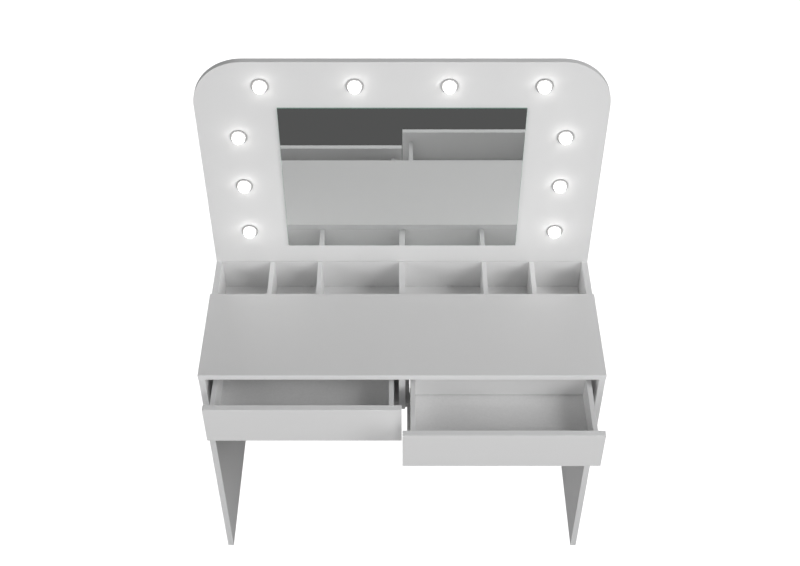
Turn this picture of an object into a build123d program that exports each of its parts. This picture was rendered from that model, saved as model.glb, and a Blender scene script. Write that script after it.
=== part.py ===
from build123d import *
import os

os.makedirs("parts", exist_ok=True)

# White vanity table: two panel legs, a shallow tabletop with two drawers under it, an open
# organiser trough behind the tabletop and a lit mirror panel at the back.
# Millimetres, +X right, +Y back, +Z up. Depths below are measured back from the case's front
# plane. The exported model is shifted so that its origin is on the floor, at the middle of the
# whole model's footprint with both drawers as far open as they stand here.

# ------------------------------------------------------------------ driving dimensions
WIDTH = 1000.0  # tabletop, side to side
TABLE_HEIGHT = 750.0  # floor to the tabletop's surface
OVERALL_HEIGHT = 1377.5  # floor to the top of the mirror panel
TOP_DEPTH = 280.0  # tabletop, front to back
CASE_DEPTH = 433.0  # side panels, front to back
BOARD = 16.0  # melamine board
THIN_BOARD = 12.0  # board of the drawer boxes and the small dividers
HARDBOARD = 3.0  # drawer bottoms and the cover behind the mirror
EDGE_R = 1.0  # rounding of the banded board edges
TOP_OVERHANG = 1.0  # tabletop past each side panel
GLIDE_HEIGHT = 3.0

ORGANISER_DEPTH = 95.0  # trough floor below the side panels' top edge
LARGE_POCKET = 206.0  # widths of the trough's compartments, from the middle outwards
MIDDLE_POCKET = 116.0

MIRROR_WIDTH = 600.0
MIRROR_HEIGHT = 450.0
MIRROR_BOTTOM = 797.0
GLASS = 4.0
PANEL_CORNER_R = 125.0
LAMP_TOP_Z = 1310.0  # the row above the mirror
LAMP_TOP_X = (112.0, 336.0)
LAMP_SIDE_Z = (846.0, 1002.0, 1158.0)  # the columns beside the mirror
LAMP_SIDE_X = 400.0

DRAWER_FRONT_HEIGHT = 119.0
DRAWER_FRONT_TOP_GAP = 3.0
DRAWER_FRONT_SIDE_GAP = 2.0
DRAWER_FRONT_MIDDLE_GAP = 2.0
DRAWER_BOX_LENGTH = 206.0
DRAWER_SIDE_HEIGHT = 70.0
DRAWER_FLOOR_Z = 627.0  # top of the drawer's bottom board
LEFT_OPEN = 93.0  # how far each drawer stands open
RIGHT_OPEN = 170.0
SLIDE_SPACE = 12.5  # between the case and the drawer box, each side
STEEL = 1.2  # sheet of the drawer slides
ROLLER_R = 7.0
BACK_RAISED = 2.0  # gap between the drawer's back board and its bottom
JOINING_PLATE = 2.0
REAR_GAP = 1.0  # between the rear panel and the mirror panel above it

# ------------------------------------------------------------------ derived places
CASE_TOP = TABLE_HEIGHT - BOARD  # underside of the tabletop
LEG_OUT = WIDTH / 2 - TOP_OVERHANG
LEG_IN = LEG_OUT - BOARD
LEG_MID = LEG_OUT - BOARD / 2
REAR_FACE = CASE_DEPTH - BOARD  # front face of the rear panel and of the mirror panel
REAR_MID = CASE_DEPTH - BOARD / 2
WALL_FACE = TOP_DEPTH - BOARD  # front face of the trough's front wall
WALL_MID = TOP_DEPTH - BOARD / 2
TROUGH_FLOOR = CASE_TOP - ORGANISER_DEPTH
CASE_BOTTOM = 600.0  # lower edge of the centre partition and the trough's front wall
REAR_BOTTOM = 434.0  # lower edge of the rear panel
PARTITION_FRONT = BOARD + 1.0
FRONT_TOP = CASE_TOP - DRAWER_FRONT_TOP_GAP
FRONT_BOTTOM = FRONT_TOP - DRAWER_FRONT_HEIGHT
BOX_IN = BOARD / 2 + SLIDE_SPACE  # drawer box, nearest and furthest from the middle
BOX_OUT = LEG_IN - SLIDE_SPACE
BOX_BACK = BOARD + DRAWER_BOX_LENGTH
BOX_TOP = DRAWER_FLOOR_Z + DRAWER_SIDE_HEIGHT
BOX_UNDER = DRAWER_FLOOR_Z - HARDBOARD
CASE_SHIFT = (RIGHT_OPEN - CASE_DEPTH - JOINING_PLATE) / 2  # puts the origin mid footprint

LEFT, RIGHT, FRONT, BACK, UP, DOWN = (
    Vector(-1, 0, 0),
    Vector(1, 0, 0),
    Vector(0, -1, 0),
    Vector(0, 1, 0),
    Vector(0, 0, 1),
    Vector(0, 0, -1),
)

nodes = {}
holes = {}
case_dowels = []
case_cams = []
case_screws = []


# ------------------------------------------------------------------ basic shapes
def block(x0, x1, y0, y1, z0, z1):
    """Square-edged block between two corners."""
    middle = Pos((x0 + x1) / 2, (y0 + y1) / 2, (z0 + z1) / 2)
    return middle * Box(abs(x1 - x0), abs(y1 - y0), abs(z1 - z0))


def board(x0, x1, y0, y1, z0, z1, edge=EDGE_R):
    """Board whose banded edges are slightly rounded."""
    plain = block(x0, x1, y0, y1, z0, z1)
    return fillet(plain.edges(), edge)


def rod(start, along, radius, length):
    """Round bar that starts at a point and runs along a direction."""
    place = Plane(origin=start, z_dir=along)
    return place * Cylinder(radius, length, align=(Align.CENTER, Align.CENTER, Align.MIN))


def taper(start, along, start_radius, end_radius, length):
    """Cone that starts at a point and runs along a direction."""
    place = Plane(origin=start, z_dir=along)
    return place * Cone(
        start_radius, end_radius, length, align=(Align.CENTER, Align.CENTER, Align.MIN)
    )


def arched_plate(half_width, y0, y1, z0, z1, corner):
    """Upright plate with large rounded top corners."""
    plain = block(-half_width, half_width, y0, y1, z0, z1)
    top_corners = plain.edges().filter_by(Axis.Y).group_by(Axis.Z)[-1]
    return fillet(top_corners, corner)


def drill(node, *tools):
    """Remember holes to be cut in a node when it is finished."""
    holes.setdefault(node, []).extend(tools)


# ------------------------------------------------------------------ fasteners
DOWEL_R = 4.0
DOWEL_IN_EDGE = 19.0
DOWEL_IN_FACE = 10.5
DOWEL_ROOM = 0.5  # glue space at each end of a dowel
CAM_R = 7.5
CAM_OFFSET = 24.0  # from the joint to the cam's axis
CAM_DEPTH_SHARE = 0.78  # of the board's thickness
CAM_SLOT = (8.0, 1.4, 3.0)
BOLT_HEAD_R = 3.0
BOLT_NECK_R = 2.0
BOLT_SHAFT_R = 3.4
BOLT_THREAD_R = 2.6
BOLT_THREAD_LENGTH = 10.0
SCREW_HEAD_R = 3.6
SCREW_SHANK_R = 1.75
RECESS_SIZE = 3.6
RECESS_WIDTH = 0.9
PAN_HEAD_R = 3.3
PAN_HEAD_HEIGHT = 1.6
PAN_SHANK_R = 1.6
FIT = 0.05  # radial room of a fastener in its hole


def dowel(edge_node, face_node, at, into):
    """Wooden dowel across a butt joint: `at` is on the joint, `into` points into face_node."""
    start = Vector(*at) - into * DOWEL_IN_EDGE
    length = DOWEL_IN_EDGE + DOWEL_IN_FACE
    drill(edge_node, rod(start - into * DOWEL_ROOM, into, DOWEL_R + FIT, length))
    drill(face_node, rod(Vector(*at), into, DOWEL_R + FIT, DOWEL_IN_FACE + DOWEL_ROOM))
    case_dowels.append(rod(start, into, DOWEL_R, length))


def cam_fitting(cam_node, thread_node, at, into, face, thickness=BOARD):
    """Cam and bolt across a butt joint. `at` is on the joint at mid thickness of the cam's board,
    `into` points into the board with the thread and `face` points out of the cam's face."""
    joint = Vector(*at)
    centre = joint - into * CAM_OFFSET
    depth = CAM_DEPTH_SHARE * thickness
    mouth = centre + face * (thickness / 2)
    shaft_length = CAM_OFFSET - CAM_R - 0.5
    cam = rod(mouth, face * -1, CAM_R, depth)
    pocket_r = BOLT_HEAD_R + 0.4
    cam -= rod(centre - into * (pocket_r + 0.2), into, pocket_r, CAM_R + pocket_r + 1)
    for direction in (into, face.cross(into)):
        cam -= Plane(origin=mouth, x_dir=direction, z_dir=face) * Box(*CAM_SLOT)
    bolt = rod(centre - into * BOLT_HEAD_R, into, BOLT_HEAD_R, 2 * BOLT_HEAD_R)
    bolt += rod(centre, into, BOLT_NECK_R, CAM_OFFSET - shaft_length)
    bolt += rod(joint - into * shaft_length, into, BOLT_SHAFT_R, shaft_length)
    bolt += rod(joint, into, BOLT_THREAD_R, BOLT_THREAD_LENGTH)
    drill(cam_node, rod(mouth, face * -1, CAM_R + FIT, depth + FIT))
    drill(cam_node, rod(centre, into, BOLT_SHAFT_R + FIT, CAM_OFFSET))
    drill(thread_node, rod(joint, into, BOLT_THREAD_R + FIT, BOLT_THREAD_LENGTH + 0.5))
    return [cam, bolt]


def flush_screw(at, into, length, grow=0.0):
    """Countersunk screw, its head flush at `at`."""
    head_height = SCREW_HEAD_R - SCREW_SHANK_R
    head = taper(Vector(*at), into, SCREW_HEAD_R + grow, SCREW_SHANK_R + grow, head_height)
    return head + rod(Vector(*at), into, SCREW_SHANK_R + grow, length + grow)


def cross_recess(at, into):
    """Cross slot cut in a screw's head."""
    helper = UP if abs(into.Z) < 0.5 else RIGHT
    place = Plane(origin=Vector(*at), x_dir=helper, z_dir=into)
    long_way = Box(RECESS_SIZE, RECESS_WIDTH, 2.0)
    cross_way = Box(RECESS_WIDTH, RECESS_SIZE, 2.0)
    return [place * long_way, place * cross_way]


def add_flush_screw(targets, screws, at, into, length):
    """Put a countersunk screw through the given nodes and keep it in a list of screws."""
    for node in targets:
        drill(node, flush_screw(at, into, length, grow=FIT))
    screws.append(flush_screw(at, into, length) - cross_recess(at, into))


def add_pan_screw(targets, screws, at, into, length):
    """Screw with a low round head that stands on the surface at `at`."""
    for node in targets:
        drill(node, rod(Vector(*at), into, PAN_SHANK_R + FIT, length + 0.5))
    top = Vector(*at) - into * PAN_HEAD_HEIGHT
    screw = rod(top, into, PAN_HEAD_R, PAN_HEAD_HEIGHT)
    screw += rod(Vector(*at), into, PAN_SHANK_R, length)
    screws.append(screw - cross_recess(top, into))


# ------------------------------------------------------------------ case
def case_boards():
    """Legs, tabletop, partition and the boards of the organiser trough."""
    for name, side in (("left", -1), ("right", 1)):
        x0, x1 = sorted((side * LEG_IN, side * LEG_OUT))
        nodes[f"side_panel_{name}"] = board(x0, x1, 0, CASE_DEPTH, GLIDE_HEIGHT, CASE_TOP)
    half = WIDTH / 2
    nodes["tabletop"] = board(-half, half, 0, TOP_DEPTH, CASE_TOP, TABLE_HEIGHT)
    nodes["centre_partition"] = board(
        -BOARD / 2, BOARD / 2, PARTITION_FRONT, WALL_FACE, CASE_BOTTOM, CASE_TOP
    )
    nodes["organiser_front_wall"] = board(
        -LEG_IN, LEG_IN, WALL_FACE, TOP_DEPTH, CASE_BOTTOM, CASE_TOP
    )
    nodes["organiser_floor"] = board(
        -LEG_IN, LEG_IN, TOP_DEPTH, REAR_FACE, TROUGH_FLOOR - BOARD, TROUGH_FLOOR
    )
    rear_top = CASE_TOP - REAR_GAP
    nodes["rear_panel"] = board(-LEG_IN, LEG_IN, REAR_FACE, CASE_DEPTH, REAR_BOTTOM, rear_top)


def dividers():
    """Five upright boards that split the trough into six compartments, screwed from below."""
    inner = BOARD / 2 + LARGE_POCKET
    outer = inner + THIN_BOARD + MIDDLE_POCKET
    spans = {
        "outer_left": (-outer - THIN_BOARD, -outer),
        "inner_left": (-inner - THIN_BOARD, -inner),
        "centre": (-BOARD / 2, BOARD / 2),
        "inner_right": (inner, inner + THIN_BOARD),
        "outer_right": (outer, outer + THIN_BOARD),
    }
    screw_depths = (TOP_DEPTH + 34.0, REAR_FACE - 34.0)
    screw_length = 42.0
    for place, (x0, x1) in spans.items():
        node = f"divider_{place}"
        nodes[node] = board(x0, x1, TOP_DEPTH, REAR_FACE, TROUGH_FLOOR, CASE_TOP, edge=0.5)
        for y in screw_depths:
            at = ((x0 + x1) / 2, y, TROUGH_FLOOR - BOARD)
            add_flush_screw(("organiser_floor", node), case_screws, at, UP, screw_length)


def case_joinery():
    """Dowels and cam fittings between the boards of the case."""
    floor_mid = TROUGH_FLOOR - BOARD / 2
    for side, leg, outward in ((-1, "side_panel_left", LEFT), (1, "side_panel_right", RIGHT)):
        inner_x = side * LEG_IN
        dowel(leg, "tabletop", (side * LEG_MID, 140, CASE_TOP), UP)
        for y in (50.0, 230.0):
            at = (side * LEG_MID, y, CASE_TOP)
            case_cams.extend(cam_fitting(leg, "tabletop", at, UP, outward * -1))
        dowel("organiser_front_wall", leg, (inner_x, WALL_MID, 625), outward)
        at = (inner_x, WALL_MID, 680)
        case_cams.extend(cam_fitting("organiser_front_wall", leg, at, outward, FRONT))
        for z in (545.0, 700.0):
            dowel("rear_panel", leg, (inner_x, REAR_MID, z), outward)
        for z in (480.0, 620.0):
            at = (inner_x, REAR_MID, z)
            case_cams.extend(cam_fitting("rear_panel", leg, at, outward, BACK))
        dowel("organiser_floor", leg, (inner_x, 385, floor_mid), outward)
        at = (inner_x, 325, floor_mid)
        case_cams.extend(cam_fitting("organiser_floor", leg, at, outward, DOWN))
        dowel("organiser_floor", "organiser_front_wall", (side * 150, TOP_DEPTH, floor_mid), FRONT)
        dowel("organiser_floor", "rear_panel", (side * 150, REAR_FACE, floor_mid), BACK)
        dowel("organiser_front_wall", "tabletop", (side * 240, WALL_MID, CASE_TOP), UP)
        at = (side * 350, WALL_MID, CASE_TOP)
        case_cams.extend(cam_fitting("organiser_front_wall", "tabletop", at, UP, FRONT))
        dowel("rear_panel", "mirror_panel", (side * 200, REAR_MID, CASE_TOP), UP)
        dowel(leg, "mirror_panel", (side * LEG_MID, REAR_MID, CASE_TOP), UP)
    dowel("centre_partition", "tabletop", (0, 200, CASE_TOP), UP)
    case_cams.extend(
        cam_fitting("centre_partition", "tabletop", (0, 80, CASE_TOP), UP, RIGHT)
    )
    for z in (625.0, 705.0):
        dowel("centre_partition", "organiser_front_wall", (0, WALL_FACE, z), BACK)


def foot_glides():
    """Four nail-on plastic glides under the side panels."""
    radius = 7.0
    nail_r = 1.1
    nail_length = 16.0
    glides = []
    for x in (-LEG_MID, LEG_MID):
        for y in (30.0, CASE_DEPTH - 30.0):
            pad = rod((x, y, 0), UP, radius, GLIDE_HEIGHT)
            pad = fillet(pad.edges().group_by(Axis.Z)[0], 0.8)
            nail = rod((x, y, GLIDE_HEIGHT - 1), UP, nail_r, nail_length + 1)
            glides.append(pad + nail)
            leg = "side_panel_left" if x < 0 else "side_panel_right"
            drill(leg, rod((x, y, GLIDE_HEIGHT), UP, nail_r + FIT, nail_length + 0.5))
    nodes["foot_glides"] = glides


# ------------------------------------------------------------------ mirror panel
COVER_HALF = 454.0
COVER_BOTTOM = 779.0
COVER_TOP = 1332.5
COVER_CORNER_R = 80.0
COVER_FACE = CASE_DEPTH - HARDBOARD  # front face of the cover, floor of its recess
COVER_GAP = 0.4  # round the cover in its recess
COVER_SCREW_INSET = 12.0  # from the cover's side and bottom edges
COVER_SCREW_INSET_TOP = 10.0
COVER_SCREW_Z = (800.0, 1010.0, 1220.0)  # down each side
COVER_SCREW_X = (-225.0, 0.0, 225.0)  # along the bottom and the top
COVER_SCREW_LENGTH = 12.0
GLASS_CHAMFER = 0.4
CHANNEL = 8.0  # width of the wiring channels
CHANNEL_DEPTH = 6.0
CHANNEL_PAST_LAMP = 12.0  # end of the right channel below the lowest lamp
INLET_Z = 800.0


def lamp_places():
    """(x, z) of every lamp: the top row from left to right, then each side from the top down."""
    row = [-LAMP_TOP_X[1], -LAMP_TOP_X[0], LAMP_TOP_X[0], LAMP_TOP_X[1]]
    places = [(x, LAMP_TOP_Z) for x in row]
    for x in (-LAMP_SIDE_X, LAMP_SIDE_X):
        places += [(x, z) for z in reversed(LAMP_SIDE_Z)]
    return places


def mirror_panel():
    """Upright board with big rounded top corners, a recess for its cover and wiring channels."""
    panel = arched_plate(
        LEG_OUT, REAR_FACE, CASE_DEPTH, CASE_TOP, OVERALL_HEIGHT, PANEL_CORNER_R
    )
    nodes["mirror_panel"] = fillet(panel.edges(), EDGE_R)
    past_back = CASE_DEPTH + 5.0
    drill(
        "mirror_panel",
        arched_plate(
            COVER_HALF + COVER_GAP,
            COVER_FACE,
            past_back,
            COVER_BOTTOM - COVER_GAP,
            COVER_TOP + COVER_GAP,
            COVER_CORNER_R + COVER_GAP,
        ),
    )
    half = CHANNEL / 2
    front = COVER_FACE - CHANNEL_DEPTH
    reach = LAMP_SIDE_X + half
    drill(
        "mirror_panel",
        block(-reach, reach, front, COVER_FACE + 1, LAMP_TOP_Z - half, LAMP_TOP_Z + half),
    )
    for x, bottom in ((-LAMP_SIDE_X, INLET_Z), (LAMP_SIDE_X, LAMP_SIDE_Z[0] - CHANNEL_PAST_LAMP)):
        drill("mirror_panel", block(x - half, x + half, front, COVER_FACE + 1, bottom, LAMP_TOP_Z))
    nodes["mirror_glass"] = chamfer(
        block(
            -MIRROR_WIDTH / 2,
            MIRROR_WIDTH / 2,
            REAR_FACE - GLASS,
            REAR_FACE,
            MIRROR_BOTTOM,
            MIRROR_BOTTOM + MIRROR_HEIGHT,
        ).edges(),
        GLASS_CHAMFER,
    )
    nodes["mirror_rear_cover"] = arched_plate(
        COVER_HALF, COVER_FACE, CASE_DEPTH, COVER_BOTTOM, COVER_TOP, COVER_CORNER_R
    )
    side = COVER_HALF - COVER_SCREW_INSET
    bottom = COVER_BOTTOM + COVER_SCREW_INSET
    top = COVER_TOP - COVER_SCREW_INSET_TOP
    places = [(x, z) for x in (-side, side) for z in COVER_SCREW_Z]
    places += [(x, z) for z in (bottom, top) for x in COVER_SCREW_X]
    for x, z in places:
        targets = ("mirror_rear_cover", "mirror_panel")
        at = (x, CASE_DEPTH, z)
        add_flush_screw(targets, case_screws, at, FRONT, COVER_SCREW_LENGTH)


# the lamps: a round housing let into the panel, a disc of LEDs in it and an opal dome
HOUSING_R = 21.0
BEZEL_ROUNDING = 1.2
HOUSING_PROUD = 2.5
BARREL_R = 15.0
BARREL_LENGTH = 7.5
SOCKET_R = 15.7
SOCKET_DEPTH = 1.8
CAVITY_R = 12.5
CAVITY_DEPTH = 8.5
DOME_R = 15.4
DOME_WALL = 1.5
DOME_CENTRE = 5.5  # in front of the panel's face
LED_DISC_R = 12.3
LED_DISC = 1.6
LED_RING_R = 7.0
LED_COUNT = 5
LED_CHIP = 3.2
LED_CHIP_HEIGHT = 1.2
LEAD_HOLE_R = 2.5  # through the bottom of the housing


def lamp_housing(x, z):
    """Round bezel on the panel's face with a barrel through the board."""
    face = REAR_FACE - HOUSING_PROUD
    bezel = rod((x, REAR_FACE, z), FRONT, HOUSING_R, HOUSING_PROUD)
    bezel = fillet(bezel.edges().group_by(Axis.Y)[0], BEZEL_ROUNDING)
    body = bezel + rod((x, REAR_FACE, z), BACK, BARREL_R, BARREL_LENGTH)
    body -= rod((x, face, z), BACK, SOCKET_R, SOCKET_DEPTH)
    body -= rod((x, face, z), BACK, CAVITY_R, CAVITY_DEPTH)
    return body - rod((x, face, z), BACK, LEAD_HOLE_R, HOUSING_PROUD + BARREL_LENGTH + 1)


def lamp_disc(x, z):
    """Round board with a ring of LEDs, at the bottom of the housing."""
    seat = REAR_FACE - HOUSING_PROUD + CAVITY_DEPTH
    disc = rod((x, seat, z), FRONT, LED_DISC_R, LED_DISC)
    chip = Box(LED_CHIP, LED_CHIP_HEIGHT, LED_CHIP)
    chip_y = seat - LED_DISC - LED_CHIP_HEIGHT / 2 + 0.1
    for spot in PolarLocations(LED_RING_R, LED_COUNT):
        offset = spot.position
        disc += Pos(x + offset.X, chip_y, z + offset.Y) * chip
    return disc


def lamp_dome(x, z):
    """Opal dome with a short skirt that sits in the housing's socket."""
    centre = REAR_FACE - DOME_CENTRE
    skirt = REAR_FACE - HOUSING_PROUD + SOCKET_DEPTH
    inner_r = DOME_R - DOME_WALL
    cap = Pos(x, centre, z) * (Sphere(DOME_R) - Sphere(inner_r))
    cap -= rod((x, centre, z), BACK, 2 * DOME_R, 2 * DOME_R)
    ring = rod((x, centre, z), BACK, DOME_R, skirt - centre)
    return cap + (ring - rod((x, centre, z), BACK, inner_r, skirt - centre))


def lamps():
    housings = []
    discs = []
    for number, (x, z) in enumerate(lamp_places(), start=1):
        drill(
            "mirror_panel",
            rod((x, REAR_FACE - 1, z), BACK, BARREL_R + 0.2, BARREL_LENGTH + CHANNEL_DEPTH + 2),
        )
        housings.append(lamp_housing(x, z))
        discs.append(lamp_disc(x, z))
        nodes[f"lamp_dome_{number:02d}"] = lamp_dome(x, z)
    nodes["lamp_housings"] = housings
    nodes["lamp_led_discs"] = discs


INLET_R = 5.4
INLET_FLANGE_R = 7.5
INLET_BORE_R = 2.75
INLET_BORE_DEPTH = 9.0
INLET_BARREL = 11.5  # behind the cover's face
INLET_PIN_R = 1.0
INLET_RECESS_R = 8.0  # room for the barrel in the mirror panel
INLET_RECESS_DEPTH = 9.0


def power_inlet():
    """Low-voltage socket in the rear cover, with its contact pin."""
    x = -LAMP_SIDE_X
    flange = rod((x, CASE_DEPTH, INLET_Z), BACK, INLET_FLANGE_R, JOINING_PLATE)
    flange = fillet(flange.edges().group_by(Axis.Y)[-1], 0.6)
    barrel = rod((x, CASE_DEPTH - INLET_BARREL, INLET_Z), BACK, INLET_R, INLET_BARREL + 0.5)
    bore = rod((x, CASE_DEPTH - INLET_BORE_DEPTH, INLET_Z), BACK, INLET_BORE_R, 12.0)
    pin_start = CASE_DEPTH - INLET_BORE_DEPTH - 0.5
    pin = rod((x, pin_start, INLET_Z), BACK, INLET_PIN_R, 10.0)
    nodes["power_inlet"] = flange + barrel - bore + pin
    drill("mirror_rear_cover", rod((x, COVER_FACE - 1, INLET_Z), BACK, INLET_R + FIT, 6.0))
    recess = rod((x, COVER_FACE + 1, INLET_Z), FRONT, INLET_RECESS_R, INLET_RECESS_DEPTH + 1)
    drill("mirror_panel", recess)


def wiring_harness():
    """Two-core cable in the channels, from the inlet past the back of every lamp."""
    radius = 2.0
    y = COVER_FACE - radius - 0.7
    start_z = INLET_Z + INLET_R + 0.2
    route = [
        (-LAMP_SIDE_X, y, start_z),
        (-LAMP_SIDE_X, y, LAMP_TOP_Z),
        (LAMP_SIDE_X, y, LAMP_TOP_Z),
        (LAMP_SIDE_X, y, LAMP_SIDE_Z[0] - 8),
    ]
    bend = 4.5
    path = FilletPolyline(*route, radius=bend)
    section = Plane(origin=route[0], z_dir=UP) * Circle(radius)
    nodes["wiring_harness"] = sweep(section, path=path)
    for side in (-1, 1):
        corner = (side * (LAMP_SIDE_X - 1), LAMP_TOP_Z - 1)
        drill("mirror_panel", rod((corner[0], COVER_FACE + 1, corner[1]), FRONT, 7.0, 7.0))


def joining_plates():
    """Steel plates screwed behind the joint of the rear panel and the mirror panel."""
    half_width = 15.0
    half_height = 40.0
    plates = []
    for x in (-340.0, 0.0, 340.0):
        plate = block(
            x - half_width,
            x + half_width,
            CASE_DEPTH,
            CASE_DEPTH + JOINING_PLATE,
            CASE_TOP - half_height,
            CASE_TOP + half_height,
        )
        plate = fillet(plate.edges().filter_by(Axis.Y), 4.0)
        for dz in (-30.0, -12.0, 12.0, 30.0):
            at = (x, CASE_DEPTH + JOINING_PLATE, CASE_TOP + dz)
            target = "mirror_panel" if dz > 0 else "rear_panel"
            plate -= flush_screw(at, FRONT, 14.0, grow=FIT)
            add_flush_screw((target,), case_screws, at, FRONT, 14.0)
        plates.append(plate)
    nodes["joining_plates"] = plates


# ------------------------------------------------------------------ drawer slides
# Across the slide space, distances are measured from the case's board towards the drawer box.
RAIL_FRONT = BOARD + 2.0
RAIL_BACK = WALL_FACE - 2.0
RUNNER_TOP = BOX_UNDER  # the drawer's bottom board rests on the runner's flange
RUNNER_UNDER = RUNNER_TOP - STEEL
ROLL_GAP = 0.2
ROLLER_Z = RUNNER_UNDER - ROLL_GAP - ROLLER_R
TRACK_TOP = ROLLER_Z - ROLLER_R - ROLL_GAP  # running face of the case rail
CASE_ROLLER_Y = RAIL_FRONT + 8.0
BOX_ROLLER_Y = BOX_BACK - 8.0  # with the drawer closed
RIVET_R = 2.0
RIVET_HEAD_R = 3.2
RIVET_HEAD = 0.8
RIVET_FIT = 0.06  # radial room of a roller on its rivet
SLIDE_HOLE_R = 1.9
SCREW_Z = RUNNER_TOP + 8.0
RAIL_WEB_ABOVE = 13.0  # of the drawer's bottom board
RAIL_FLANGE = 10.5
RAIL_RIVET = 9.8
CASE_ROLLER_SPAN = (2.5, 9.5)
RUNNER_WEB_ABOVE = 18.0
RUNNER_FLANGE_START = 4.5
RUNNER_FLANGE_UNDER_BOX = 10.0
RUNNER_TAB = 18.0  # length of the tab that carries the rear roller
RUNNER_RIVET = 9.4
BOX_ROLLER_SPAN = (3.4, 10.6)


def across(face_x, turn, near, far):
    """The x span of a piece in the slide space, from distances off the case's board."""
    return sorted((face_x + turn * near, face_x + turn * far))


def case_rail(face_x, turn, board_node, screw_depths):
    """Channel screwed to the case, with the rivet of its front roller."""
    web_x = across(face_x, turn, 0, STEEL)
    flange_x = across(face_x, turn, 0, RAIL_FLANGE)
    toward = RIGHT * turn
    web_top = RUNNER_TOP + RAIL_WEB_ABOVE
    rail = block(*web_x, RAIL_FRONT, RAIL_BACK, TRACK_TOP - STEEL, web_top)
    for z0 in (TRACK_TOP - STEEL, RUNNER_TOP + 0.6):
        rail += block(*flange_x, RAIL_FRONT, RAIL_BACK, z0, z0 + STEEL)
    at = Vector(face_x, CASE_ROLLER_Y, ROLLER_Z)
    rail += rod(at, toward, RIVET_R, RAIL_RIVET)
    rail += rod(at + toward * RAIL_RIVET, toward, RIVET_HEAD_R, RIVET_HEAD)
    for y in screw_depths:
        screw_at = Vector(face_x, y, SCREW_Z) + toward * STEEL
        rail -= rod(Vector(face_x, y, SCREW_Z), toward, SLIDE_HOLE_R, 5.0)
        add_pan_screw((board_node,), case_screws, screw_at, toward * -1, 11.5)
    return rail


def box_runner(face_x, turn, box_node, screws):
    """Runner under the drawer box's lower edge, with the rivet of its rear roller."""
    toward = RIGHT * turn
    web_x = across(face_x, turn, SLIDE_SPACE - STEEL, SLIDE_SPACE)
    flange_end = SLIDE_SPACE + RUNNER_FLANGE_UNDER_BOX
    flange_x = across(face_x, turn, RUNNER_FLANGE_START, flange_end)
    front = BOARD + 1.0
    runner = block(*web_x, front, BOX_BACK, RUNNER_UNDER, RUNNER_TOP + RUNNER_WEB_ABOVE)
    runner += block(*flange_x, front, BOX_BACK, RUNNER_UNDER, RUNNER_TOP)
    tab_front = BOX_BACK - RUNNER_TAB
    runner += block(*web_x, tab_front, BOX_BACK, TRACK_TOP + 0.5, RUNNER_UNDER)
    at = Vector(face_x, BOX_ROLLER_Y, ROLLER_Z) + toward * SLIDE_SPACE
    runner += rod(at, toward * -1, RIVET_R, RUNNER_RIVET)
    runner += rod(at - toward * RUNNER_RIVET, toward * -1, RIVET_HEAD_R, RIVET_HEAD)
    for y in (BOARD + 45, BOX_BACK - 40):
        screw_at = Vector(face_x, y, SCREW_Z + 2) + toward * (SLIDE_SPACE - STEEL)
        runner -= rod(screw_at - toward * 2, toward, SLIDE_HOLE_R, 5.0)
        add_pan_screw((box_node,), screws, screw_at, toward, 10.0)
    return runner


def roller(face_x, turn, y, near, far):
    """Nylon roller with a bore that runs on its rivet."""
    toward = RIGHT * turn
    start = Vector(face_x, y, ROLLER_Z) + toward * near
    width = far - near
    wheel = rod(start, toward, ROLLER_R, width)
    wheel = fillet(wheel.edges(), 0.5)
    return wheel - rod(start - toward, toward, RIVET_R + RIVET_FIT, width + 2)


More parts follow.
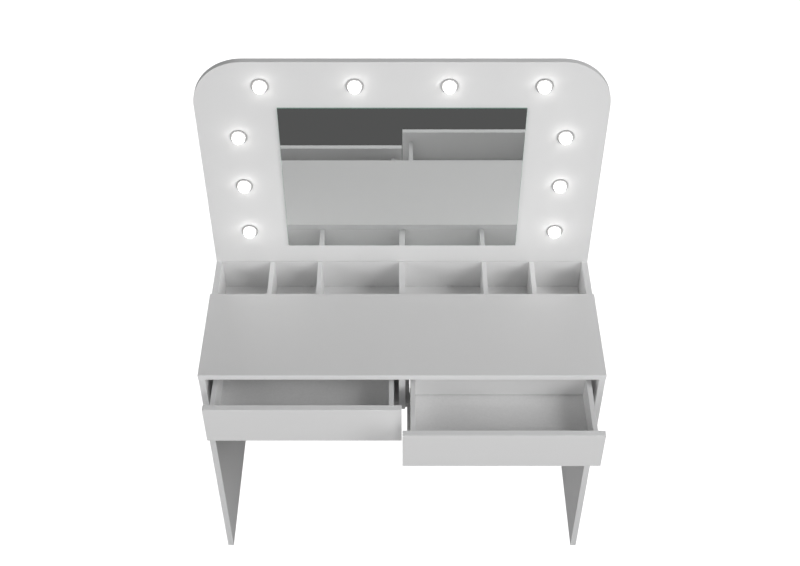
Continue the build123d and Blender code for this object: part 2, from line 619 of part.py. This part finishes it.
# ------------------------------------------------------------------ drawers
def drawer(name, side):
    """One drawer with its slides, on the left (side -1) or the right (side 1)."""
    prefix = f"drawer_{name}"
    first = set(nodes)

    def span(near, far):
        return sorted((side * near, side * far))

    near = DRAWER_FRONT_MIDDLE_GAP / 2
    far = LEG_IN - DRAWER_FRONT_SIDE_GAP
    nodes[f"{prefix}_front"] = board(*span(near, far), 0, BOARD, FRONT_BOTTOM, FRONT_TOP)
    walls = {
        "inner_side": (BOX_IN, BOX_IN + THIN_BOARD),
        "outer_side": (BOX_OUT - THIN_BOARD, BOX_OUT),
    }
    for wall, (x0, x1) in walls.items():
        nodes[f"{prefix}_{wall}"] = board(
            *span(x0, x1), BOARD, BOX_BACK, DRAWER_FLOOR_Z, BOX_TOP, edge=0.5
        )
    inside = span(BOX_IN + THIN_BOARD, BOX_OUT - THIN_BOARD)
    back_face = BOX_BACK - THIN_BOARD
    nodes[f"{prefix}_back"] = board(
        *inside, back_face, BOX_BACK, DRAWER_FLOOR_Z + BACK_RAISED, BOX_TOP, edge=0.5
    )
    nodes[f"{prefix}_bottom"] = block(
        *span(BOX_IN, BOX_OUT), BOARD, BOX_BACK, BOX_UNDER, DRAWER_FLOOR_Z
    )
    cams = []
    screws = []
    rollers = []
    case_rollers = []
    outer_turn = -side
    slides = {
        "inner": (side * BOARD / 2, side, "centre_partition", (70.0, 210.0)),
        "outer": (side * LEG_IN, outer_turn, f"side_panel_{name}", (60.0, 200.0)),
    }
    for place, (face_x, turn, case_node, depths) in slides.items():
        wall = f"{prefix}_{place}_side"
        outward = RIGHT * -turn
        outer_face = face_x + turn * SLIDE_SPACE
        mid = outer_face + turn * THIN_BOARD / 2
        stagger = 20.0 if (place == "inner" and side > 0) else 0.0
        depths = [y + stagger for y in depths]
        cams += cam_fitting(
            wall, f"{prefix}_front", (mid, BOARD, 672.0), FRONT, outward, THIN_BOARD
        )
        for z in (652.0, 684.0):
            at = (outer_face, BOX_BACK - THIN_BOARD / 2, z)
            add_flush_screw((wall, f"{prefix}_back"), screws, at, outward * -1, 34.0)
        nodes[f"{prefix}_runner_{place}"] = box_runner(face_x, turn, wall, screws)
        rollers.append(roller(face_x, turn, BOX_ROLLER_Y, *BOX_ROLLER_SPAN))
        nodes[f"case_rail_{name}_{place}"] = case_rail(face_x, turn, case_node, depths)
        case_rollers.append(roller(face_x, turn, CASE_ROLLER_Y, *CASE_ROLLER_SPAN))
    nodes[f"{prefix}_cam_fittings"] = cams
    nodes[f"{prefix}_screws"] = screws
    nodes[f"{prefix}_rollers"] = rollers
    nodes[f"case_rollers_{name}"] = case_rollers
    return [node for node in nodes if node not in first and node.startswith(prefix)]


# ------------------------------------------------------------------ build and export
def finished(node):
    """The node's solids with all of its holes cut."""
    shape = nodes[node]
    if node in holes:
        shape = shape - holes[node]
    return shape


def write(node, y_shift):
    """Export a node in its final place, as one solid or a compound of several."""
    shape = finished(node)
    pieces = shape if isinstance(shape, list) else [shape]
    solids = [solid for piece in pieces for solid in piece.solids()]
    moved = [Pos(0, CASE_SHIFT + y_shift, 0) * solid for solid in solids]
    model = moved[0] if len(moved) == 1 else Compound(moved)
    model.label = node
    export_step(model, f"parts/{node}.step")


case_boards()
dividers()
foot_glides()
mirror_panel()
lamps()
power_inlet()
wiring_harness()
joining_plates()
case_joinery()
shift = {}
for name, side, opening in (("left", -1, LEFT_OPEN), ("right", 1, RIGHT_OPEN)):
    for node in drawer(name, side):
        shift[node] = -opening
nodes["case_dowels"] = case_dowels
nodes["case_cam_fittings"] = case_cams
nodes["case_screws"] = case_screws
for node in nodes:
    write(node, shift.get(node, 0.0))
print(len(nodes), "nodes")
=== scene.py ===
import math

import bmesh
import bpy
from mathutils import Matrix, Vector


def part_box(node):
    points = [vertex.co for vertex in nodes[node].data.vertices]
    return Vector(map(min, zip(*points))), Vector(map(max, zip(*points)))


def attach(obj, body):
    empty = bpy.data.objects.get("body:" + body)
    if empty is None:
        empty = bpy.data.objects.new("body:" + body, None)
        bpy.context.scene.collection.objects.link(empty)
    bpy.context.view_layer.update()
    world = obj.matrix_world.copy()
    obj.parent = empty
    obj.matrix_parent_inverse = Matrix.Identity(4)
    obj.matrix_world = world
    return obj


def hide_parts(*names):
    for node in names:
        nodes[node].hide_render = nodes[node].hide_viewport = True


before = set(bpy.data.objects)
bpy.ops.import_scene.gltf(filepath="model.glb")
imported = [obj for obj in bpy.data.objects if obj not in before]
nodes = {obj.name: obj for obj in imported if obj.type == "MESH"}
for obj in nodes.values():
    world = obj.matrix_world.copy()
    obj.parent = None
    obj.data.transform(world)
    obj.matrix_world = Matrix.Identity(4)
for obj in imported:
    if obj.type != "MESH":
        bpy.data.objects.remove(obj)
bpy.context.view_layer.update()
scene = bpy.context.scene

# ------------------------------------------------------------------ place taken from the frame
CASE_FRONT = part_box("tabletop")[0].y

# ------------------------------------------------------------------ camera
CAMERA_HEIGHT = 3.0247
CAMERA_BACK = 1.952  # in front of the case's front plane
CAMERA_PITCH = math.radians(45.04)
CAMERA_LENS = 55.09
CAMERA_SHIFT = -0.0026
SENSOR_WIDTH = 36.0
VIEW_DEPTH = 60.0


def camera():
    data = bpy.data.cameras.new("camera")
    data.sensor_width = SENSOR_WIDTH
    data.lens = CAMERA_LENS
    data.shift_x = CAMERA_SHIFT
    data.clip_end = VIEW_DEPTH
    cam = bpy.data.objects.new("camera", data)
    cam.location = (0.0, CASE_FRONT - CAMERA_BACK, CAMERA_HEIGHT)
    cam.rotation_euler = (math.pi / 2 - CAMERA_PITCH, 0.0, 0.0)
    scene.collection.objects.link(cam)
    scene.camera = cam


# ------------------------------------------------------------------ node helpers
AXES = "XYZ"


class Graph:
    """A new material and short calls that add and link its nodes."""

    def __init__(self, name, **sockets):
        self.material = bpy.data.materials.new(name)
        self.material.use_nodes = True
        self.tree = self.material.node_tree
        self.tree.nodes.clear()
        self.out = self.tree.nodes.new("ShaderNodeOutputMaterial")
        self.bsdf = self.tree.nodes.new("ShaderNodeBsdfPrincipled")
        self.link(self.bsdf.outputs["BSDF"], self.out.inputs["Surface"])
        for key, value in sockets.items():
            self.bsdf.inputs[key.replace("_", " ")].default_value = value
        coords = self.tree.nodes.new("ShaderNodeTexCoord")
        self.place = coords.outputs["Object"]
        self.normal = coords.outputs["Normal"]

    def link(self, output, socket):
        self.tree.links.new(output, socket)

    def fill(self, socket, value):
        if isinstance(value, bpy.types.NodeSocket):
            self.link(value, socket)
        else:
            socket.default_value = value

    def maths(self, operation, *values):
        node = self.tree.nodes.new("ShaderNodeMath")
        node.operation = operation
        for socket, value in zip(node.inputs, values):
            self.fill(socket, value)
        return node.outputs[0]

    def axis(self, vector, name):
        node = self.tree.nodes.new("ShaderNodeSeparateXYZ")
        self.link(vector, node.inputs[0])
        return node.outputs[name]

    def stretched(self, scale):
        """Object coordinates scaled per axis."""
        node = self.tree.nodes.new("ShaderNodeVectorMath")
        node.operation = "MULTIPLY"
        self.link(self.place, node.inputs[0])
        node.inputs[1].default_value = scale
        return node.outputs[0]

    def noise(self, scale, detail=2.0, roughness=0.5, place=None):
        node = self.tree.nodes.new("ShaderNodeTexNoise")
        self.link(place or self.place, node.inputs["Vector"])
        node.inputs["Scale"].default_value = scale
        node.inputs["Detail"].default_value = detail
        node.inputs["Roughness"].default_value = roughness
        return node.outputs["Fac"]

    def cells(self, scale):
        node = self.tree.nodes.new("ShaderNodeTexVoronoi")
        self.link(self.place, node.inputs["Vector"])
        node.inputs["Scale"].default_value = scale
        return node.outputs["Distance"]

    def span(self, value, low, high, to_low=0.0, to_high=1.0):
        """Value mapped from low..high to to_low..to_high, clamped."""
        node = self.tree.nodes.new("ShaderNodeMapRange")
        self.link(value, node.inputs["Value"])
        limits = {"From Min": low, "From Max": high, "To Min": to_low, "To Max": to_high}
        for name, number in limits.items():
            node.inputs[name].default_value = number
        return node.outputs["Result"]

    def mix(self, factor, first, second):
        """Two colours mixed. A Mix node has its colour sockets at these places."""
        first_colour, second_colour, result_colour = 6, 7, 2
        node = self.tree.nodes.new("ShaderNodeMix")
        node.data_type = "RGBA"
        self.fill(node.inputs["Factor"], factor)
        self.fill(node.inputs[first_colour], first)
        self.fill(node.inputs[second_colour], second)
        return node.outputs[result_colour]

    def bump(self, height, distance, strength=1.0, under=None):
        node = self.tree.nodes.new("ShaderNodeBump")
        node.inputs["Strength"].default_value = strength
        node.inputs["Distance"].default_value = distance
        self.link(height, node.inputs["Height"])
        if under is not None:
            self.link(under, node.inputs["Normal"])
        return node.outputs["Normal"]

    def use(self, name, output):
        self.link(output, self.bsdf.inputs[name])


def grey(level, warmth=0.0):
    """Neutral colour of a linear level, slightly warmer or cooler."""
    return (level * (1 + warmth), level, level * (1 - warmth), 1.0)


# ------------------------------------------------------------------ materials
MELAMINE = 0.88
BAND_SEAM = 0.0009  # distance of the edge band's joint from the board's edge
BAND_SEAM_WIDTH = 0.00012
BAND_SEAM_DARKENING = 0.35
EDGE_TURN = 0.6  # a normal leaning less than this towards the thin side is on a board's edge


def melamine(name):
    """White melamine board: pearl texture on its faces, a smoother band on its edges and the
    hairline joint between the two, worked out from the board's own box."""
    g = Graph(f"melamine_{name}", IOR=1.5)
    low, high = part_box(name)
    size = high - low
    thin = min(range(3), key=lambda i: size[i])
    turned = g.maths("ABSOLUTE", g.axis(g.normal, AXES[thin]))
    on_edge = g.maths("LESS_THAN", turned, EDGE_TURN)
    nearest = None
    for i in range(3):
        if i == thin:
            continue
        value = g.axis(g.place, AXES[i])
        middle = (low[i] + high[i]) / 2
        from_middle = g.maths("ABSOLUTE", g.maths("SUBTRACT", value, middle))
        to_edge = g.maths("SUBTRACT", size[i] / 2, from_middle)
        nearest = to_edge if nearest is None else g.maths("MINIMUM", nearest, to_edge)
    off_seam = g.maths("ABSOLUTE", g.maths("SUBTRACT", nearest, BAND_SEAM))
    seam = g.span(off_seam, BAND_SEAM_WIDTH / 2, BAND_SEAM_WIDTH * 1.5, 1.0, 0.0)
    seam = g.maths("MULTIPLY", seam, g.maths("SUBTRACT", 1.0, on_edge))
    cloud = g.span(g.noise(scale=7.0, detail=3.0), 0.3, 0.7, 0.985, 1.0)
    shade = g.mix(cloud, grey(MELAMINE * 0.965), grey(MELAMINE))
    faced = g.mix(on_edge, shade, grey(MELAMINE * 1.02, -0.003))
    darkening = g.maths("MULTIPLY", seam, BAND_SEAM_DARKENING)
    g.use("Base Color", g.mix(darkening, faced, grey(MELAMINE * 0.55, 0.01)))
    wear = g.span(g.noise(scale=23.0, detail=4.0, roughness=0.6), 0.35, 0.7, 0.40, 0.50)
    g.use("Roughness", g.maths("SUBTRACT", wear, g.maths("MULTIPLY", on_edge, 0.08)))
    pearl = g.noise(scale=1400.0, detail=2.0, roughness=0.55)
    ripple = g.noise(scale=90.0, detail=1.0)
    fine = g.bump(pearl, distance=0.00006, strength=0.5)
    g.use("Normal", g.bump(ripple, distance=0.00012, strength=0.12, under=fine))
    return g.material


def hardboard():
    """Thin fibreboard: white lacquer on the side in use, brown pressed fibre underneath."""
    g = Graph("hardboard", IOR=1.48)
    fibre = g.noise(scale=520.0, detail=5.0, roughness=0.7)
    fleck = g.noise(scale=160.0, detail=3.0, roughness=0.6)
    brown = g.mix(g.span(fibre, 0.35, 0.65), (0.19, 0.105, 0.052, 1), (0.33, 0.2, 0.11, 1))
    brown = g.mix(g.span(fleck, 0.55, 0.75, 0.0, 0.5), brown, (0.1, 0.055, 0.03, 1))
    white = g.mix(g.span(fleck, 0.3, 0.7), grey(0.80), grey(0.84))
    up = g.span(g.axis(g.normal, "Z"), 0.4, 0.6)
    g.use("Base Color", g.mix(up, brown, white))
    g.use("Roughness", g.span(fibre, 0.3, 0.7, 0.46, 0.62))
    g.use("Normal", g.bump(fibre, distance=0.00008, strength=0.5))
    return g.material


def rear_hardboard():
    """The cover behind the mirror: white lacquered fibreboard with a faint pressed grain."""
    g = Graph("rear_hardboard", IOR=1.48)
    fibre = g.noise(scale=430.0, detail=5.0, roughness=0.7)
    g.use("Base Color", g.mix(g.span(fibre, 0.3, 0.7), grey(0.68, 0.01), grey(0.74, 0.008)))
    g.use("Roughness", g.span(fibre, 0.3, 0.7, 0.5, 0.66))
    g.use("Normal", g.bump(fibre, distance=0.00009, strength=0.5))
    return g.material


def mirror():
    """Silvered glass: its ground edge shows the green of the float glass."""
    g = Graph("silvered_glass", Metallic=1.0)
    turned = g.maths("ABSOLUTE", g.axis(g.normal, "Y"))
    on_face = g.span(turned, 0.9, 0.98)
    g.use("Base Color", g.mix(on_face, (0.30, 0.44, 0.38, 1), (0.93, 0.94, 0.935, 1)))
    haze = g.span(g.noise(scale=14.0, detail=5.0, roughness=0.65), 0.45, 0.8, 0.0, 0.012)
    ground = g.maths("MULTIPLY", g.maths("SUBTRACT", 1.0, on_face), 0.25)
    g.use("Roughness", g.maths("ADD", haze, ground))
    return g.material


GLOW = 6.0
SKIRT_GLOW = 0.6  # of the glow, at the dome's skirt


def opal():
    """Lit opal plastic, a little dimmer towards the skirt."""
    g = Graph("opal_dome", Roughness=0.28, IOR=1.49)
    g.bsdf.inputs["Emission Color"].default_value = (1.0, 0.985, 0.965, 1)
    low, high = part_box("lamp_dome_01")
    depth = g.axis(g.place, "Y")
    g.use("Base Color", g.mix(g.noise(scale=300.0), grey(0.86), grey(0.9)))
    g.use("Emission Strength", g.span(depth, low.y, high.y, GLOW, GLOW * SKIRT_GLOW))
    return g.material


def moulded(name, level, rough, warmth=0.0):
    """Moulded plastic with a fine spark-eroded texture."""
    g = Graph(name, IOR=1.47)
    fine = g.noise(scale=900.0, detail=2.0)
    broad = g.noise(scale=35.0, detail=3.0)
    cloud = g.span(broad, 0.3, 0.7)
    g.use("Base Color", g.mix(cloud, grey(level * 0.95, warmth), grey(level, warmth)))
    g.use("Roughness", g.span(fine, 0.3, 0.7, rough - 0.05, rough + 0.07))
    g.use("Normal", g.bump(fine, distance=0.00005, strength=0.4))
    return g.material


def powder_coat():
    """White epoxy coating on folded sheet steel, with its soft orange peel."""
    g = Graph("powder_coat", IOR=1.5)
    peel = g.cells(900.0)
    g.use("Base Color", g.mix(g.noise(scale=40.0, detail=3.0), grey(0.74), grey(0.79)))
    g.use("Roughness", g.span(g.noise(scale=120.0), 0.3, 0.7, 0.3, 0.42))
    g.use("Normal", g.bump(peel, distance=0.00005, strength=0.35))
    return g.material


def zinc():
    """Bright zinc plate with the faint warm and cool clouds of its passivation."""
    g = Graph("zinc_plate", Metallic=1.0)
    cloud = g.span(g.noise(scale=140.0, detail=4.0, roughness=0.6), 0.3, 0.7)
    g.use("Base Color", g.mix(cloud, (0.56, 0.57, 0.59, 1), (0.71, 0.69, 0.63, 1)))
    g.use("Roughness", g.span(g.noise(scale=600.0, detail=3.0), 0.3, 0.7, 0.26, 0.44))
    fine = g.noise(scale=1500.0, detail=2.0)
    g.use("Normal", g.bump(fine, distance=0.00003, strength=0.4))
    return g.material


def beech():
    """Beech dowel with its short grain."""
    g = Graph("beech", IOR=1.45)
    grain = g.noise(scale=60.0, detail=4.0, roughness=0.6, place=g.stretched((9.0, 9.0, 1.0)))
    g.use("Base Color", g.mix(g.span(grain, 0.3, 0.7), (0.45, 0.27, 0.14, 1), (0.62, 0.42, 0.25, 1)))
    g.use("Roughness", g.span(grain, 0.3, 0.7, 0.5, 0.65))
    g.use("Normal", g.bump(grain, distance=0.0001, strength=0.4))
    return g.material


def circuit_board():
    """White solder mask with the pale phosphor of the LEDs standing on it."""
    g = Graph("circuit_board", Roughness=0.4, IOR=1.5)
    g.bsdf.inputs["Emission Color"].default_value = (1.0, 0.96, 0.88, 1)
    g.bsdf.inputs["Emission Strength"].default_value = 1.0
    g.use("Base Color", g.mix(g.noise(scale=500.0), grey(0.7), (0.8, 0.78, 0.62, 1)))
    return g.material


DOME_WALL = 0.0015
DOME_TURNS = 96
DOME_STEPS = 24
SKIRT_ROUNDING = 0.0002
SHARP_ANGLE = math.radians(50)


def revolve(name, profile, centre):
    """Closed surface from (radius, y) points turned about the line along Y through centre.
    The first and last points are on that line."""
    mesh = bmesh.new()
    rings = []
    for radius, y in profile:
        turns = DOME_TURNS if radius > 0 else 1
        ring = []
        for step in range(turns):
            angle = 2 * math.pi * step / turns
            x = centre.x + radius * math.cos(angle)
            z = centre.z + radius * math.sin(angle)
            ring.append(mesh.verts.new((x, y, z)))
        rings.append(ring)
    for first, second in zip(rings, rings[1:]):
        for step in range(DOME_TURNS):
            after = (step + 1) % DOME_TURNS
            if len(first) == 1:
                corners = (first[0], second[step], second[after])
            elif len(second) == 1:
                corners = (first[step], second[0], first[after])
            else:
                corners = (first[step], second[step], second[after], first[after])
            mesh.faces.new(corners)
    bmesh.ops.recalc_face_normals(mesh, faces=mesh.faces)
    data = bpy.data.meshes.new(name)
    mesh.to_mesh(data)
    mesh.free()
    data.shade_smooth()
    data.set_sharp_from_angle(angle=SHARP_ANGLE)
    piece = bpy.data.objects.new(name, data)
    scene.collection.objects.link(piece)
    return piece


def dome_profile(radius, front, back):
    """Outside of the dome from its front to the skirt, then its inside back to the middle."""
    centre = front + radius
    inner = radius - DOME_WALL
    quarter = [math.pi / 2 * step / DOME_STEPS for step in range(DOME_STEPS + 1)]
    outside = [(radius * math.sin(a), centre - radius * math.cos(a)) for a in quarter]
    inside = [(inner * math.sin(a), centre - inner * math.cos(a)) for a in reversed(quarter)]
    rim = SKIRT_ROUNDING
    skirt = [(radius, back - rim), (radius - rim, back), (inner + rim, back), (inner, back - rim)]
    return outside + skirt + inside


def domes(material):
    """Smooth opal domes in place of the CAD ones."""
    for name in nodes:
        if not name.startswith("lamp_dome"):
            continue
        low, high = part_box(name)
        radius = (high.x - low.x) / 2
        piece = revolve(f"opal_{name}", dome_profile(radius, low.y, high.y), (low + high) / 2)
        piece.data.materials.append(material)
        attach(piece, "root")
        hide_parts(name)


def dress(name, material):
    """Put one material on every slot of a CAD node."""
    mesh = nodes[name].data
    if not mesh.materials:
        mesh.materials.append(material)
    for index in range(len(mesh.materials)):
        mesh.materials[index] = material


def dress_all():
    board = hardboard()
    steel = zinc()
    nylon = moulded("nylon", 0.72, 0.34, 0.01)
    coat = powder_coat()
    glow = opal()
    special = {
        "mirror_glass": mirror(),
        "mirror_rear_cover": rear_hardboard(),
        "lamp_housings": moulded("lamp_bezel", 0.36, 0.3),
        "lamp_led_discs": circuit_board(),
        "wiring_harness": moulded("cable_sheath", 0.7, 0.5),
        "power_inlet": moulded("inlet_plastic", 0.03, 0.42),
        "foot_glides": moulded("glide_plastic", 0.62, 0.45),
        "joining_plates": steel,
        "case_dowels": beech(),
    }
    for name in nodes:
        if name in special:
            material = special[name]
        elif name.startswith("lamp_dome"):
            material = glow
        elif name.endswith("_bottom"):
            material = board
        elif name.endswith(("_screws", "_cam_fittings")):
            material = steel
        elif "rollers" in name:
            material = nylon
        elif "rail" in name or "runner" in name:
            material = coat
        else:
            material = melamine(name)
        dress(name, material)
    domes(glow)


# ------------------------------------------------------------------ stage and light
FLOOR_SIZE = 40.0
FLOOR_GLOW = 1.0
AMBIENT = 0.09
AIM = (0.0, 0.05, 0.8)  # what every light points at

# name, place, side of its square, watts, whether reflections show it
LIGHTS = (
    ("front_low", (0.0, -4.0, 1.1), 2.6, 49.0, False),  # would fill the mirror at eye level
    ("front_high", (0.0, -3.2, 3.3), 2.6, 10.0, True),
    ("left", (-3.6, -1.8, 1.6), 2.4, 51.0, True),
    ("right", (3.2, -1.8, 2.9), 2.4, 90.0, True),
    ("rear", (0.0, 4.0, 1.8), 2.6, 65.0, True),
)


def floor():
    """Pale floor that glows enough to look white and throws no light on the object."""
    half = FLOOR_SIZE / 2
    mesh = bpy.data.meshes.new("floor")
    corners = [(-half, -half, 0), (half, -half, 0), (half, half, 0), (-half, half, 0)]
    mesh.from_pydata(corners, [], [(0, 1, 2, 3)])
    sheet = bpy.data.objects.new("floor", mesh)
    scene.collection.objects.link(sheet)
    g = Graph("floor", Roughness=0.9)
    g.bsdf.inputs["Base Color"].default_value = grey(0.5)
    g.bsdf.inputs["Emission Color"].default_value = grey(1.0)
    g.bsdf.inputs["Emission Strength"].default_value = FLOOR_GLOW
    sheet.data.materials.append(g.material)
    sheet.visible_glossy = False
    sheet.visible_diffuse = False


def area_light(name, location, size, power, reflected):
    data = bpy.data.lights.new(name, "AREA")
    data.shape = "SQUARE"
    data.size = size
    data.energy = power
    light = bpy.data.objects.new(name, data)
    light.location = location
    towards = Vector(AIM) - Vector(location)
    light.rotation_euler = towards.to_track_quat("-Z", "Y").to_euler()
    light.visible_glossy = reflected
    light.visible_camera = False
    scene.collection.objects.link(light)


def world_light():
    """Dim even light from all round, and a white backdrop where the camera sees past the floor."""
    world = bpy.data.worlds.new("world")
    scene.world = world
    world.use_nodes = True
    tree = world.node_tree
    dim = tree.nodes["Background"]
    dim.inputs["Color"].default_value = grey(1.0)
    dim.inputs["Strength"].default_value = AMBIENT
    white = tree.nodes.new("ShaderNodeBackground")
    white.inputs["Color"].default_value = grey(1.0)
    white.inputs["Strength"].default_value = FLOOR_GLOW
    choice = tree.nodes.new("ShaderNodeMixShader")
    ray = tree.nodes.new("ShaderNodeLightPath")
    factor, otherwise, to_camera = choice.inputs
    tree.links.new(ray.outputs["Is Camera Ray"], factor)
    tree.links.new(dim.outputs["Background"], otherwise)
    tree.links.new(white.outputs["Background"], to_camera)
    tree.links.new(choice.outputs["Shader"], tree.nodes["World Output"].inputs["Surface"])


scene.view_settings.view_transform = "Standard"
camera()
dress_all()
floor()
world_light()
for settings in LIGHTS:
    area_light(*settings)
